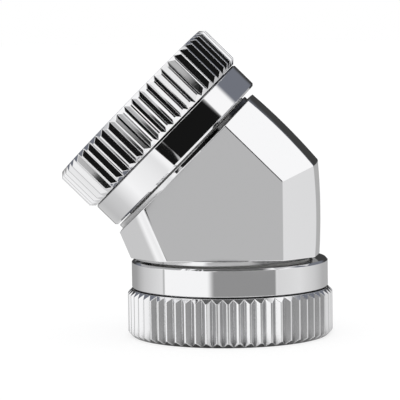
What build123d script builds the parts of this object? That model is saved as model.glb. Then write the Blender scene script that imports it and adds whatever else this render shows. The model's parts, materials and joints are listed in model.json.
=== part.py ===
"""A 45 degree tube elbow with a compression port at each end.

Each port is a turned socket that swivels in the faceted body. A tube pushed into the port is
sealed by two rings in the socket's bore, and held by a third ring that the knurled nut squeezes.

Lengths are millimetres. The origin is the centre of the lower port's mouth, and +Z runs up that
port's axis to the mitre point, where the axes of the two arms meet. A station is a distance from
the mitre point along an arm's axis, and it grows outward. Radii are from the arm's axis.
"""
from build123d import *

import math
import os

# Driving dimensions
BEND_ANGLE = 45.0
MOUTH_STATION = 14.65
TUBE_BORE_R = 7.15
FLOW_BORE_R = 5.5
TOUCH = 0.01

# Faceted body
BODY_END = 5.85
FRONT_FLAT = 9.15
OUTER_BLOCK = 10.1
INNER_FLAT = 10.25
OUTER_CHAMFER = 4.4
INNER_CHAMFER_ACROSS = 2.9
INNER_CHAMFER_DEEP = 3.9
EDGE_ROUND = 0.12
SOFT_EDGE_ROUND = 1.8

# Outer bend: crowned across each arm, and slightly bowed along it
CROWN_TOP = 9.78
CROWN_ACROSS_R = 29.0
CROWN_ALONG_R = 68.0
CROWN_MIDDLE = 1.6

# Round neck at each end of the body, off the arm's axis towards the inside of the bend
NECK_R = 9.59
NECK_SHIFT = 0.67
NECK_END = 6.3

# Swivel joint between body and socket
STEM_R = 6.9
STEM_END = 3.25
POCKET_R = 6.95
POCKET_FLOOR = 3.2
STEM_RING_GROOVE_R = 6.15
STEM_RING_GROOVE_WIDTH = 0.9
STEM_RING_STATIONS = {"inner": 3.9, "outer": 4.95}
STEM_RING_CENTRE_R = 6.55
STEM_RING_SECTION_R = 0.39
SNAP_STATION = 5.87
SNAP_GROOVE_WIDTH = 0.54
SNAP_GROOVE_IN_STEM_R = 6.65
SNAP_GROOVE_IN_BODY_R = 7.35
SNAP_CENTRE_R = 6.98
SNAP_WIRE_R = 0.25
SNAP_GAP_ANGLE = 24.0
THRUST_RECESS_R = 8.7
THRUST_RECESS_FLOOR = 6.95
THRUST_WASHER_R = 8.6
THRUST_WASHER_HOLE_R = 7.35
THRUST_WASHER_SPAN = (6.32, 6.93)

# Socket: plain band, threaded spigot, tube bore
BAND_R = 10.52
BAND_START = 6.52
BAND_END = 9.57
BAND_EDGE = 0.2
SPIGOT_END = 13.2
TUBE_STOP = 7.6
TUBE_RING_GROOVE_R = 8.35
TUBE_RING_GROOVES = {"inner": (8.1, 9.6), "outer": (10.0, 11.5)}
TUBE_RING_CENTRE_R = 7.63
TUBE_RING_SECTION_R = 0.7
CONE_START = 11.75
CONE_MOUTH_R = 8.6

# Thread between socket and nut, right-handed, each a blunt-ended ridge
PITCH = 0.75
MALE_MAJOR_R = 9.5
MALE_MINOR_R = 9.04
FEMALE_MAJOR_R = 9.56
FEMALE_MINOR_R = 9.1
RIDGE_ROOT_HALF = 0.33
RIDGE_CREST_HALF = 0.042
RIDGE_SUNK = 0.04
MALE_THREAD_START = 10.45
MALE_THREAD_TURNS = 3.2
FEMALE_THREAD_START = MALE_THREAD_START - PITCH / 2
FEMALE_THREAD_TURNS = 3.8

# Compression ring, slip washer and knurled nut
COMPRESSION_RING_CENTRE_R = 7.5
COMPRESSION_RING_SECTION_R = 0.5
COMPRESSION_RING_STATION = 12.82
SLIP_WASHER_R = 9.0
SLIP_WASHER_SPAN = (13.34, 13.93)
NUT_R = 11.0
NUT_START = 9.6
NUT_CHAMFER = 0.48
NUT_SHOULDER = 13.95
FLUTES = 60
FLUTE_DEPTH = 0.43
FLUTE_HALF_WIDTH = 0.49
FLUTE_PHASE = {"lower": 0.5, "upper": 0.0}
MOUTH_EDGE = 0.25


class Arm:
    """One arm of the elbow, seen from the mitre point."""

    def __init__(self, name, outward, outer):
        self.name = name
        self.outward = Vector(*outward)
        self.outer = Vector(*outer)
        self.axis = Axis(MITRE, self.outward)
        self.across = Plane(origin=MITRE, x_dir=self.outer, z_dir=self.outward)
        self.along = Plane(origin=MITRE, x_dir=self.outer, z_dir=self.outer.cross(self.outward))

    def point(self, radius, station):
        """The point of the mirror plane at this radius on the outer side and this station."""
        return MITRE + self.outer * radius + self.outward * station


MITRE = Vector(0, 0, MOUTH_STATION)
LEAN = math.radians(BEND_ANGLE)
LOWER = Arm("lower", (0, 0, -1), (1, 0, 0))
UPPER = Arm("upper", (-math.sin(LEAN), 0, math.cos(LEAN)), (math.cos(LEAN), 0, math.sin(LEAN)))
ARMS = (LOWER, UPPER)
INTO_BEND = (LOWER.outward + UPPER.outward).normalized()


def finish(piece, name):
    """Labels a finished piece and writes it to its own file."""
    piece.part.label = name
    export_step(piece.part, f"parts/{name}.step")


def turned(arm, *outline):
    """A ring turned about the arm's axis from an outline of (radius, station) corners."""
    with BuildPart() as ring:
        with BuildSketch(arm.along):
            with BuildLine():
                Polyline(*outline, close=True)
            make_face()
        revolve(axis=arm.axis)
    return ring


def round_ring(arm, centre_r, section_r, station):
    """A ring of round section, such as an O-ring."""
    with BuildPart() as ring:
        with BuildSketch(arm.along):
            with Locations((centre_r, station)):
                Circle(section_r)
        revolve(axis=arm.axis)
    return ring


def flat_ring(arm, hole_r, rim_r, span):
    """A flat washer between two stations."""
    start, end = span
    return turned(arm, (hole_r, start), (rim_r, start), (rim_r, end), (hole_r, end))


def thread_ridge(arm, root_r, crest_r, start, turns):
    """The helical ridge of a thread. Its root is sunk a little way into the wall it stands on."""
    away = math.copysign(1, crest_r - root_r)
    helix_centre = MITRE + arm.outward * start
    with BuildPart() as ridge:
        with BuildLine():
            helix = Helix(
                pitch=PITCH,
                height=PITCH * turns,
                radius=root_r,
                center=helix_centre,
                direction=arm.outward,
            )
        radial = (helix @ 0) - helix_centre
        with BuildSketch(Plane(origin=helix @ 0, x_dir=radial, z_dir=helix % 0)):
            with BuildLine():
                Polyline(
                    (-away * RIDGE_SUNK, -RIDGE_ROOT_HALF),
                    (crest_r - root_r, -RIDGE_CREST_HALF),
                    (crest_r - root_r, RIDGE_CREST_HALF),
                    (-away * RIDGE_SUNK, RIDGE_ROOT_HALF),
                    close=True,
                )
            make_face()
        sweep(path=helix, is_frenet=True)
    return ridge.part


def elbow_body():
    """The faceted body: mirrored flats, a chamfered outer bend, two off-centre necks, bored through."""
    outer_knee = OUTER_BLOCK * math.tan(LEAN / 2)
    outline = [
        LOWER.point(-INNER_FLAT, BODY_END),
        LOWER.point(OUTER_BLOCK, BODY_END),
        LOWER.point(OUTER_BLOCK, -outer_knee),
        UPPER.point(OUTER_BLOCK, BODY_END),
        UPPER.point(-INNER_FLAT, BODY_END),
    ]
    mirror_plane = Plane(origin=(0, 0, 0), x_dir=(1, 0, 0), z_dir=(0, -1, 0))
    with BuildPart() as body:
        with BuildSketch(mirror_plane):
            with BuildLine():
                Polyline(*[(corner.X, corner.Z) for corner in outline], close=True)
            make_face()
        extrude(amount=FRONT_FLAT, both=True)

        def flat_edges(side):
            """Edges of both flats on the inner (+1) or the outer (-1) side of the bend."""
            def wanted(edge):
                centre = edge.center()
                on_a_flat = abs(abs(centre.Y) - FRONT_FLAT) < TOUCH
                return on_a_flat and (centre - MITRE).dot(INTO_BEND) * side > FLOW_BORE_R
            return body.edges().filter_by(wanted)

        chamfer(flat_edges(-1), length=OUTER_CHAMFER)
        for end in (0, -1):
            chamfer(
                flat_edges(1).sort_by(Axis.Y)[end],
                length=INNER_CHAMFER_ACROSS,
                length2=INNER_CHAMFER_DEEP,
                reference=body.faces().sort_by(Axis.Y)[end],
            )
        spindle_r = CROWN_TOP - CROWN_ACROSS_R
        spindle_half = math.sqrt(CROWN_ALONG_R**2 - (CROWN_ALONG_R - CROWN_ACROSS_R) ** 2)
        for arm in ARMS:
            with BuildSketch(arm.along):
                with BuildLine():
                    bow = ThreePointArc(
                        (spindle_r, CROWN_MIDDLE - spindle_half),
                        (CROWN_TOP, CROWN_MIDDLE),
                        (spindle_r, CROWN_MIDDLE + spindle_half),
                    )
                    Line(bow @ 1, bow @ 0)
                make_face()
            revolve(axis=Axis(arm.point(spindle_r, 0), arm.outward), mode=Mode.INTERSECT)

        def is_crisp_edge(edge):
            """An edge that runs along the body, other than the two softly rounded ones."""
            stations = [(edge.center() - MITRE).dot(arm.outward) for arm in ARMS]
            return max(stations) < BODY_END - TOUCH and edge not in flat_edges(1)

        fillet(body.edges().filter_by(is_crisp_edge), EDGE_ROUND)
        fillet(flat_edges(1), SOFT_EDGE_ROUND)
        for arm in ARMS:
            neck_centre = arm.point(-NECK_SHIFT, BODY_END)
            with BuildSketch(Plane(origin=neck_centre, x_dir=arm.outer, z_dir=arm.outward)):
                Circle(NECK_R)
            extrude(amount=NECK_END - BODY_END)
        with Locations(MITRE):
            Sphere(FLOW_BORE_R, mode=Mode.SUBTRACT)
        for arm in ARMS:
            with BuildSketch(arm.along):
                with BuildLine():
                    Polyline(
                        (0, 0),
                        (FLOW_BORE_R, 0),
                        (FLOW_BORE_R, POCKET_FLOOR),
                        (POCKET_R, POCKET_FLOOR),
                        (POCKET_R, SNAP_STATION - SNAP_GROOVE_WIDTH / 2),
                        (SNAP_GROOVE_IN_BODY_R, SNAP_STATION - SNAP_GROOVE_WIDTH / 2),
                        (SNAP_GROOVE_IN_BODY_R, SNAP_STATION + SNAP_GROOVE_WIDTH / 2),
                        (POCKET_R, SNAP_STATION + SNAP_GROOVE_WIDTH / 2),
                        (POCKET_R, NECK_END),
                        (0, NECK_END),
                        close=True,
                    )
                make_face()
            revolve(axis=arm.axis, mode=Mode.SUBTRACT)
    return body


def groove(wall_r, floor_r, station, width):
    """Corners of a square groove centred at a station. A negative width runs inward."""
    start = station - width / 2
    end = station + width / 2
    return [(wall_r, start), (floor_r, start), (floor_r, end), (wall_r, end)]


def swivel_socket(arm):
    """Stem that turns in the body, plain band, and threaded spigot, bored for the tube."""
    outline = [(FLOW_BORE_R, STEM_END), (STEM_R, STEM_END)]
    for station in STEM_RING_STATIONS.values():
        outline += groove(STEM_R, STEM_RING_GROOVE_R, station, STEM_RING_GROOVE_WIDTH)
    outline += groove(STEM_R, SNAP_GROOVE_IN_STEM_R, SNAP_STATION, SNAP_GROOVE_WIDTH)
    outline += [
        (STEM_R, THRUST_RECESS_FLOOR),
        (THRUST_RECESS_R, THRUST_RECESS_FLOOR),
        (THRUST_RECESS_R, BAND_START),
        (BAND_R - BAND_EDGE, BAND_START),
        (BAND_R, BAND_START + BAND_EDGE),
        (BAND_R, BAND_END - BAND_EDGE),
        (BAND_R - BAND_EDGE, BAND_END),
        (MALE_MINOR_R, BAND_END),
        (MALE_MINOR_R, SPIGOT_END),
        (CONE_MOUTH_R, SPIGOT_END),
        (TUBE_BORE_R, CONE_START),
    ]
    for start, end in reversed(TUBE_RING_GROOVES.values()):
        outline += groove(TUBE_BORE_R, TUBE_RING_GROOVE_R, (start + end) / 2, start - end)
    outline += [(TUBE_BORE_R, TUBE_STOP), (FLOW_BORE_R, TUBE_STOP)]
    with BuildPart() as socket:
        add(turned(arm, *outline))
        add(thread_ridge(arm, MALE_MINOR_R, MALE_MAJOR_R, MALE_THREAD_START, MALE_THREAD_TURNS))
    return socket


def snap_ring(arm):
    """Open wire ring that keeps the stem in the body's pocket."""
    with BuildPart() as ring:
        with BuildSketch(arm.along):
            with Locations((SNAP_CENTRE_R, SNAP_STATION)):
                Circle(SNAP_WIRE_R)
        revolve(axis=arm.axis, revolution_arc=360 - SNAP_GAP_ANGLE)
    return ring


def flute_outline(phase):
    """Corners of a star: a narrow land and a V for each flute, started part of a flute round."""
    valley_r = NUT_R - FLUTE_DEPTH
    half_angle = FLUTE_HALF_WIDTH / NUT_R
    corners = []
    for index in range(FLUTES):
        valley_angle = 2 * math.pi * (index + phase) / FLUTES
        for angle, radius in (
            (valley_angle - half_angle, NUT_R),
            (valley_angle, valley_r),
            (valley_angle + half_angle, NUT_R),
        ):
            corners.append((radius * math.cos(angle), radius * math.sin(angle)))
    return corners


def knurled_nut(arm):
    """Nut with V flutes around it, a thread inside, and an end wall that presses the slip washer."""
    with BuildPart() as nut:
        add(
            turned(
                arm,
                (0, NUT_START),
                (NUT_R - NUT_CHAMFER, NUT_START),
                (NUT_R, NUT_START + NUT_CHAMFER),
                (NUT_R, MOUTH_STATION - NUT_CHAMFER),
                (NUT_R - NUT_CHAMFER, MOUTH_STATION),
                (0, MOUTH_STATION),
            )
        )
        with BuildSketch(arm.across.offset(NUT_START)):
            with BuildLine():
                Polyline(*flute_outline(FLUTE_PHASE[arm.name]), close=True)
            make_face()
        extrude(amount=MOUTH_STATION - NUT_START, mode=Mode.INTERSECT)
        with BuildSketch(arm.along):
            with BuildLine():
                Polyline(
                    (0, NUT_START),
                    (FEMALE_MAJOR_R, NUT_START),
                    (FEMALE_MAJOR_R, NUT_SHOULDER),
                    (TUBE_BORE_R, NUT_SHOULDER),
                    (TUBE_BORE_R, MOUTH_STATION - MOUTH_EDGE),
                    (TUBE_BORE_R + MOUTH_EDGE, MOUTH_STATION),
                    (0, MOUTH_STATION),
                    close=True,
                )
            make_face()
        revolve(axis=arm.axis, mode=Mode.SUBTRACT)
        add(thread_ridge(arm, FEMALE_MAJOR_R, FEMALE_MINOR_R, FEMALE_THREAD_START, FEMALE_THREAD_TURNS))
    return nut


if __name__ == "__main__":
    os.makedirs("parts", exist_ok=True)
    finish(elbow_body(), "elbow_body")
    for arm in ARMS:
        finish(swivel_socket(arm), f"{arm.name}_swivel_socket")
        for place, station in STEM_RING_STATIONS.items():
            stem_ring = round_ring(arm, STEM_RING_CENTRE_R, STEM_RING_SECTION_R, station)
            finish(stem_ring, f"{arm.name}_{place}_stem_o_ring")
        finish(snap_ring(arm), f"{arm.name}_snap_ring")
        thrust = flat_ring(arm, THRUST_WASHER_HOLE_R, THRUST_WASHER_R, THRUST_WASHER_SPAN)
        finish(thrust, f"{arm.name}_thrust_washer")
        for place, (start, end) in TUBE_RING_GROOVES.items():
            tube_ring = round_ring(
                arm, TUBE_RING_CENTRE_R, TUBE_RING_SECTION_R, (start + end) / 2
            )
            finish(tube_ring, f"{arm.name}_{place}_tube_o_ring")
        squeezed = round_ring(
            arm, COMPRESSION_RING_CENTRE_R, COMPRESSION_RING_SECTION_R, COMPRESSION_RING_STATION
        )
        finish(squeezed, f"{arm.name}_compression_o_ring")
        slip = flat_ring(arm, TUBE_BORE_R, SLIP_WASHER_R, SLIP_WASHER_SPAN)
        finish(slip, f"{arm.name}_slip_washer")
        finish(knurled_nut(arm), f"{arm.name}_knurled_nut")
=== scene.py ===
import json
import math

import bpy
from mathutils import Matrix, Vector


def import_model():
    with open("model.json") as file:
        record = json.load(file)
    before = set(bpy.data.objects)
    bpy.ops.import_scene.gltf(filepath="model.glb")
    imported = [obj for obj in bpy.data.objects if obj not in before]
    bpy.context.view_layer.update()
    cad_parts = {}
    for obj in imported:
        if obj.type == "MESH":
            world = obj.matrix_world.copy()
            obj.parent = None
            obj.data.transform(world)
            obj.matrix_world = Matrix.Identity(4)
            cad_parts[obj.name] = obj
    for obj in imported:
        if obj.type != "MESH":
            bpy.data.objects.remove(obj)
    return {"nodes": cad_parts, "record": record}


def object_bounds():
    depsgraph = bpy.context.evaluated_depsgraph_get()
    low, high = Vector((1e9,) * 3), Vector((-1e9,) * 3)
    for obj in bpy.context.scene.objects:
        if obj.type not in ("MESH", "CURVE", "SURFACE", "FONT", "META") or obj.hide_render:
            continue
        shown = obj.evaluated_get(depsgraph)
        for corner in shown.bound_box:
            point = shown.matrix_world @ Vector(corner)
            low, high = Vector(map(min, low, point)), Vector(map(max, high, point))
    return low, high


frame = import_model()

CAD_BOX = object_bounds()
MM = 0.001
TO_DEGREES = 180 / math.pi


def grey(value):
    """A grey as a colour."""
    return (value, value, value)


# ---------------------------------------------------------------- materials

PLATE_TINT = (0.93, 0.93, 0.94)

METALS = {
    "chrome_body": dict(tint=PLATE_TINT, roughness=0.03, ripple=2e-7, edge_radius=0.10 * MM),
    "chrome_socket": dict(tint=PLATE_TINT, roughness=0.03, ripple=1e-7, edge_radius=0.06 * MM),
    "chrome_nut": dict(tint=PLATE_TINT, roughness=0.05, ripple=1e-7, edge_radius=0.09 * MM),
    "spring_steel": dict(tint=grey(0.6), roughness=0.22, ripple=1e-6, edge_radius=0.02 * MM),
}
DULL_ONES = {
    "seal_rubber": dict(colour=grey(0.02), roughness=0.55, grain=1e-5, grain_scale=9000.0),
    "white_plastic": dict(colour=(0.82, 0.82, 0.8), roughness=0.4, grain=6e-6, grain_scale=5000.0),
}

# Noise on the metals as (scale, detail), and how it sets the roughness, as pairs of noise level
# and share of the metal's own roughness
POLISH_PATCHES = (260.0, 3.0)
POLISH_SHARES = ((0.3, 0.6), (0.75, 1.6))
PLATING_WAVES = (120.0, 1.0)
EDGE_SAMPLES = 8

# Detail of the moulded grain, and its darkest speck as a share of the colour
GRAIN_DETAIL = 4.0
SPECK_SHADE = 0.8

# Painted shade in narrow gaps between plated faces: how far a face looks for walls, and pairs of
# openness and painted shade
GAP_REACH = 1.8 * MM
GAP_SAMPLES = 6
GAP_SHADES = {
    "chrome_body": ((0.36, 0.04), (0.62, 1.0)),
    "chrome_nut": ((0.34, 0.05), (0.55, 1.0)),
}

# Corners closer than this become one, and faces at less than this angle are shaded as a round
WELD_DISTANCE = 1e-7
ROUND_ANGLE = math.radians(28)


def node_material(name):
    """A new material, its node tree and the principled shader in it."""
    material = bpy.data.materials.new(name)
    material.use_nodes = True
    tree = material.node_tree
    shader = tree.nodes["Principled BSDF"]
    return material, tree, shader


def noise(tree, scale, detail):
    """Noise fixed to the object, with its scale in features per metre."""
    place = tree.nodes.new("ShaderNodeTexCoord")
    texture = tree.nodes.new("ShaderNodeTexNoise")
    texture.inputs["Scale"].default_value = scale
    texture.inputs["Detail"].default_value = detail
    tree.links.new(place.outputs["Object"], texture.inputs["Vector"])
    return texture.outputs["Fac"]


def ramp(tree, source, *stops):
    """The source turned into greys, by stops of position and grey."""
    node = tree.nodes.new("ShaderNodeValToRGB")
    elements = node.color_ramp.elements
    while len(elements) < len(stops):
        elements.new(0.5)
    for element, (position, value) in zip(elements, stops):
        element.position = position
        element.color = (*grey(value), 1)
    tree.links.new(source, node.inputs["Fac"])
    return node.outputs["Color"]


def blend(tree, mask, under, over):
    """One tone laid over another where the mask is 1. A tone is a socket or a plain colour."""
    mix = tree.nodes.new("ShaderNodeMix")
    mix.data_type = "RGBA"
    tree.links.new(mask, mix.inputs["Factor"])
    for side, tone in (("A", under), ("B", over)):
        if isinstance(tone, tuple):
            mix.inputs[side].default_value = (*tone, 1)
        else:
            tree.links.new(tone, mix.inputs[side])
    return mix.outputs["Result"]


def metal(name, tint, roughness, ripple, edge_radius):
    """Polished metal: a nearly clear mirror with faint waves, patchy polish and buffed edges."""
    material, tree, shader = node_material(name)
    shader.inputs["Metallic"].default_value = 1.0
    shader.inputs["Base Color"].default_value = (*tint, 1)
    stops = [(level, roughness * share) for level, share in POLISH_SHARES]
    polish = ramp(tree, noise(tree, *POLISH_PATCHES), *stops)
    tree.links.new(polish, shader.inputs["Roughness"])
    bump = tree.nodes.new("ShaderNodeBump")
    bump.inputs["Strength"].default_value = 1.0
    bump.inputs["Distance"].default_value = ripple
    tree.links.new(noise(tree, *PLATING_WAVES), bump.inputs["Height"])
    buffed = tree.nodes.new("ShaderNodeBevel")
    buffed.samples = EDGE_SAMPLES
    buffed.inputs["Radius"].default_value = edge_radius
    tree.links.new(buffed.outputs["Normal"], bump.inputs["Normal"])
    tree.links.new(bump.outputs["Normal"], shader.inputs["Normal"])
    return material


def paint_gap_shade(material, shades):
    """Paints shade into a metal's colour, toward black where its surface sits deep in a narrow
    gap.
    """
    tree = material.node_tree
    base_colour = tree.nodes["Principled BSDF"].inputs["Base Color"]
    tint = tuple(base_colour.default_value)[:3]
    openness = tree.nodes.new("ShaderNodeAmbientOcclusion")
    openness.samples = GAP_SAMPLES
    openness.inputs["Distance"].default_value = GAP_REACH
    shade = ramp(tree, openness.outputs["AO"], *shades)
    tree.links.new(blend(tree, shade, grey(0.0), tint), base_colour)


def dull(name, colour, roughness, grain, grain_scale):
    """Rubber or low-friction plastic: one colour with a fine moulded grain."""
    material, tree, shader = node_material(name)
    specks = noise(tree, grain_scale, GRAIN_DETAIL)
    dark_speck = tuple(channel * SPECK_SHADE for channel in colour)
    tree.links.new(blend(tree, specks, dark_speck, colour), shader.inputs["Base Color"])
    shader.inputs["Roughness"].default_value = roughness
    bump = tree.nodes.new("ShaderNodeBump")
    bump.inputs["Distance"].default_value = grain
    tree.links.new(specks, bump.inputs["Height"])
    tree.links.new(bump.outputs["Normal"], shader.inputs["Normal"])
    return material


def make_materials():
    """Every material, by the name of its slot in the record."""
    materials = {name: metal(name, **look) for name, look in METALS.items()}
    materials.update({name: dull(name, **look) for name, look in DULL_ONES.items()})
    # Painted shade: each listed metal's colour goes toward black deep in narrow gaps
    for name, shades in GAP_SHADES.items():
        paint_gap_shade(materials[name], shades)
    return materials


def dress_cad_nodes(materials):
    """Gives each CAD node its material, and shading that is smooth across its rounds only."""
    for part in frame["record"]["subparts"]:
        node = frame["nodes"][part["node"]]
        node.data.materials.clear()
        node.data.materials.append(materials[part["material_slot"]])
        for polygon in node.data.polygons:
            polygon.use_smooth = True
        weld = node.modifiers.new("weld", "WELD")
        weld.merge_threshold = WELD_DISTANCE
        split = node.modifiers.new("split", "EDGE_SPLIT")
        split.split_angle = ROUND_ANGLE
        weighted = node.modifiers.new("weighted", "WEIGHTED_NORMAL")
        weighted.mode = "FACE_AREA_WITH_ANGLE"


# ---------------------------------------------------------------- studio

# A span below is (low, high, softness of its ends). Bearings are degrees round from the front
# towards +X, heights are degrees above the horizon, and lengths are metres.

# Dark things round the white tent, later ones over earlier ones. Each has whether it stands on
# both sides alike, its span of bearings, its span of heights and its tone.
TENT_PATCHES = {
    "backdrop": (True, (98, 200, 6), (-90, 50, 6), (0.17, 0.18, 0.21)),
    "backdrop's foot": (True, (148, 200, 6), (-90, 17, 5), grey(0.05)),
    "overhead": (False, (-200, 200, 1), (66, 100, 4), grey(0.12)),
    "opening round the lens": (False, (-14, 61, 1.5), (-30, 41, 2), grey(0.008)),
}

# Tone of the table by the bearing it is seen on: as the upright faces see it at a glance, and as
# the overhanging ones see it from above
GLANCING_TONES = (
    (-180, 0.30),
    (-140, 0.36),
    (-118, 0.58),
    (-83.5, 0.76),
    (-82.5, 0.40),
    (-81.5, 0.40),
    (-80.5, 0.97),
    (54, 0.97),
    (58, 0.70),
    (90, 0.76),
    (117, 0.62),
    (140, 0.45),
    (180, 0.42),
)
STEEP_TONES = (
    (-170, 0.62),
    (-140, 0.53),
    (-100, 0.64),
    (-62, 0.97),
    (-30, 0.88),
    (-12, 0.78),
    (20, 0.95),
    (100, 0.95),
    (180, 0.60),
)
GLANCING_HEIGHTS = (-15, 90, 3)

# Painted shade on the table in front of the part, laid as a grey patch: where its two edges lie,
# the heights it is seen at, and for its near and far halves the distance from the part's axis and
# the tone
PAINTED_SHADE_LEFT_EDGE = (-21, 400, 5.0)
PAINTED_SHADE_RIGHT_EDGE = (-400, 56, 1.5)
PAINTED_SHADE_HEIGHTS = (-9.3, 90, 0.4)
PAINTED_SHADE_HALVES = (
    ((-1.0, 0.078, 0.002), 0.29),
    ((0.078, 9.0, 0.002), 0.49),
)

# Black card on the table, to the left of the lens. It shows below a line that climbs with the
# bearing, and the heights are from that line.
CARD_X = (-0.034, -0.019, 0.001)
CARD_Y = (-1.0, -0.118, 0.003)
CARD_CLIMB = 0.65
CARD_HEIGHTS = (-90, -0.9, 0.4)
CARD_TONE = grey(0.008)

# The metal sees the table, which lies just under the floor, and the camera sees the floor
TABLE_HALF_SIZE = 0.6
TABLE_DROP = 0.02 * MM
FLOOR_HALF_SIZE = 4.0
FLOOR_TONE = grey(0.3)
FLOOR_ROUGHNESS = 0.8
FLOOR_GLOW = 0.74

SENSOR_WIDTH = 36.0
FOCAL_LENGTH = 180.0
CLIP_NEAR = 0.01
CLIP_FAR = 20
CAMERA_PLACE = Vector((4.5, -213.6, 32.8)) * MM
CAMERA_TARGET = Vector((-3.1, 0, 14.4)) * MM
CAMERA_ROLL = math.radians(-0.8)


def math_node(tree, operation, first, second=None):
    """A maths node. Each input is a socket or a plain number."""
    node = tree.nodes.new("ShaderNodeMath")
    node.operation = operation
    for slot, value in enumerate((first, second)):
        if value is None:
            continue
        if isinstance(value, (int, float)):
            node.inputs[slot].default_value = value
        else:
            tree.links.new(value, node.inputs[slot])
    return node.outputs[0]


def window(tree, value, low, high, soft):
    """1 where value lies between low and high, 0 outside, with soft ends."""
    sides = []
    for end, rising in ((low, True), (high, False)):
        step = tree.nodes.new("ShaderNodeMapRange")
        step.interpolation_type = "SMOOTHSTEP"
        step.inputs["From Min"].default_value = end - soft if rising else end + soft
        step.inputs["From Max"].default_value = end + soft if rising else end - soft
        tree.links.new(value, step.inputs["Value"])
        sides.append(step.outputs["Result"])
    return math_node(tree, "MULTIPLY", *sides)


def patch(tree, first, first_span, second, second_span):
    """1 where two values are both within their spans."""
    inside_first = window(tree, first, *first_span)
    inside_second = window(tree, second, *second_span)
    return math_node(tree, "MULTIPLY", inside_first, inside_second)


def bearing_and_height(tree, direction):
    """Bearing and height of a direction, in degrees."""
    parts = tree.nodes.new("ShaderNodeSeparateXYZ")
    tree.links.new(direction, parts.inputs[0])
    to_front = math_node(tree, "MULTIPLY", parts.outputs["Y"], -1.0)
    bearing = math_node(tree, "ARCTAN2", parts.outputs["X"], to_front)
    height = math_node(tree, "ARCSINE", parts.outputs["Z"])
    return [math_node(tree, "MULTIPLY", angle, TO_DEGREES) for angle in (bearing, height)]


def world():
    """White tent with dark things round it that only the metal sees."""
    studio = bpy.data.worlds.new("studio")
    bpy.context.scene.world = studio
    studio.use_nodes = True
    tree = studio.node_tree
    place = tree.nodes.new("ShaderNodeTexCoord")
    bearing, height = bearing_and_height(tree, place.outputs["Generated"])
    to_either_side = math_node(tree, "ABSOLUTE", bearing)
    tone = grey(1.0)
    for mirrored, bearings, heights, patch_tone in TENT_PATCHES.values():
        across = to_either_side if mirrored else bearing
        mask = patch(tree, across, bearings, height, heights)
        tone = blend(tree, mask, tone, patch_tone)
    path = tree.nodes.new("ShaderNodeLightPath")
    for ray in ("Is Camera Ray", "Is Diffuse Ray"):
        tone = blend(tree, path.outputs[ray], tone, grey(1.0))
    tree.links.new(tone, tree.nodes["Background"].inputs["Color"])


def flat_sheet(name, half_size, z, material):
    """A square stage sheet lying level."""
    corners = [(-1, -1), (1, -1), (1, 1), (-1, 1)]
    points = [(x * half_size, y * half_size, z) for x, y in corners]
    mesh = bpy.data.meshes.new(name)
    mesh.from_pydata(points, [], [(0, 1, 2, 3)])
    mesh.materials.append(material)
    sheet = bpy.data.objects.new(name, mesh)
    bpy.context.scene.collection.objects.link(sheet)
    return sheet


def floor():
    """Plain pale floor that the camera sees and the metal doesn't."""
    material, _, shader = node_material("floor")
    shader.inputs["Base Color"].default_value = (*FLOOR_TONE, 1)
    shader.inputs["Roughness"].default_value = FLOOR_ROUGHNESS
    shader.inputs["Emission Color"].default_value = (*grey(1.0), 1)
    shader.inputs["Emission Strength"].default_value = FLOOR_GLOW
    sheet = flat_sheet("floor", FLOOR_HALF_SIZE, CAD_BOX[0].z, material)
    sheet.visible_glossy = False


def tones_by_bearing(tree, bearing, tones):
    """A smooth run of greys round the compass."""
    around = tree.nodes.new("ShaderNodeMapRange")
    around.inputs["From Min"].default_value = -180
    around.inputs["From Max"].default_value = 180
    tree.links.new(bearing, around.inputs["Value"])
    stops = [((at + 180) / 360, tone) for at, tone in tones]
    return ramp(tree, around.outputs["Result"], *stops)


def lay_painted_shade(tree, tone, bearing, height, radius):
    """The tone with the painted grey shade laid over it."""
    between_edges = patch(tree, bearing, PAINTED_SHADE_LEFT_EDGE, bearing, PAINTED_SHADE_RIGHT_EDGE)
    in_sight = window(tree, height, *PAINTED_SHADE_HEIGHTS)
    for distances, shade_tone in PAINTED_SHADE_HALVES:
        half = math_node(tree, "MULTIPLY", between_edges, window(tree, radius, *distances))
        tone = blend(tree, math_node(tree, "MULTIPLY", half, in_sight), tone, grey(shade_tone))
    return tone


def lay_card(tree, tone, bearing, height, x, y):
    """The tone with the black card laid over it."""
    card = patch(tree, x, CARD_X, y, CARD_Y)
    line = math_node(tree, "MULTIPLY", bearing, CARD_CLIMB)
    above_line = math_node(tree, "SUBTRACT", height, line)
    in_sight = window(tree, above_line, *CARD_HEIGHTS)
    return blend(tree, math_node(tree, "MULTIPLY", card, in_sight), tone, CARD_TONE)


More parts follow.
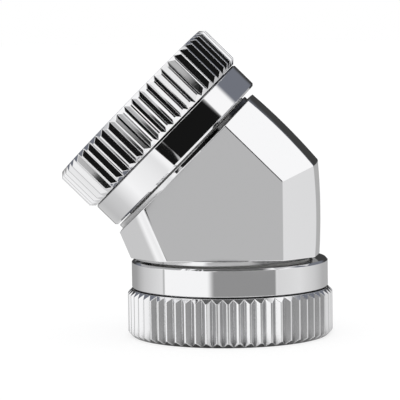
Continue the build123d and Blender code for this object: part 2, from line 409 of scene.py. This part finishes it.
def table_tone(tree):
    """Tone of the table, by the direction it is seen in and the spot that is seen."""
    geometry = tree.nodes.new("ShaderNodeNewGeometry")
    outgoing = tree.nodes.new("ShaderNodeVectorMath")
    outgoing.operation = "SCALE"
    outgoing.inputs["Scale"].default_value = -1.0
    tree.links.new(geometry.outputs["Incoming"], outgoing.inputs[0])
    bearing, height = bearing_and_height(tree, outgoing.outputs["Vector"])
    spot = tree.nodes.new("ShaderNodeSeparateXYZ")
    tree.links.new(geometry.outputs["Position"], spot.inputs[0])
    x, y = spot.outputs["X"], spot.outputs["Y"]
    squares = [math_node(tree, "MULTIPLY", side, side) for side in (x, y)]
    radius = math_node(tree, "SQRT", math_node(tree, "ADD", *squares))
    steep = tones_by_bearing(tree, bearing, STEEP_TONES)
    glancing = tones_by_bearing(tree, bearing, GLANCING_TONES)
    tone = blend(tree, window(tree, height, *GLANCING_HEIGHTS), steep, glancing)
    # Painted shade: a grey patch on the table's glow in front of the lens
    tone = lay_painted_shade(tree, tone, bearing, height, radius)
    return lay_card(tree, tone, bearing, height, x, y)


def table_top():
    """The lit table that only the metal sees, with painted shade and a card in front of the part.
    """
    material = bpy.data.materials.new("table_top")
    material.use_nodes = True
    tree = material.node_tree
    tree.nodes.clear()
    glow = tree.nodes.new("ShaderNodeEmission")
    output = tree.nodes.new("ShaderNodeOutputMaterial")
    tree.links.new(table_tone(tree), glow.inputs["Color"])
    tree.links.new(glow.outputs["Emission"], output.inputs["Surface"])
    sheet = flat_sheet("table_top", TABLE_HALF_SIZE, CAD_BOX[0].z - TABLE_DROP, material)
    sheet.visible_camera = False
    sheet.visible_diffuse = False
    sheet.visible_shadow = False
    sheet.visible_transmission = False


def camera():
    """Long lens in front of the part, a little above it and slightly rolled."""
    data = bpy.data.cameras.new("camera")
    data.sensor_width = SENSOR_WIDTH
    data.lens = FOCAL_LENGTH
    data.clip_start = CLIP_NEAR
    data.clip_end = CLIP_FAR
    cam = bpy.data.objects.new("camera", data)
    bpy.context.scene.collection.objects.link(cam)
    look = (CAMERA_TARGET - CAMERA_PLACE).to_track_quat("-Z", "Y")
    roll = Matrix.Rotation(CAMERA_ROLL, 4, "Z").to_quaternion()
    cam.rotation_mode = "QUATERNION"
    cam.location = CAMERA_PLACE
    cam.rotation_quaternion = look @ roll
    bpy.context.scene.camera = cam


dress_cad_nodes(make_materials())
floor()
table_top()
world()
camera()
bpy.context.scene.view_settings.view_transform = "Standard"
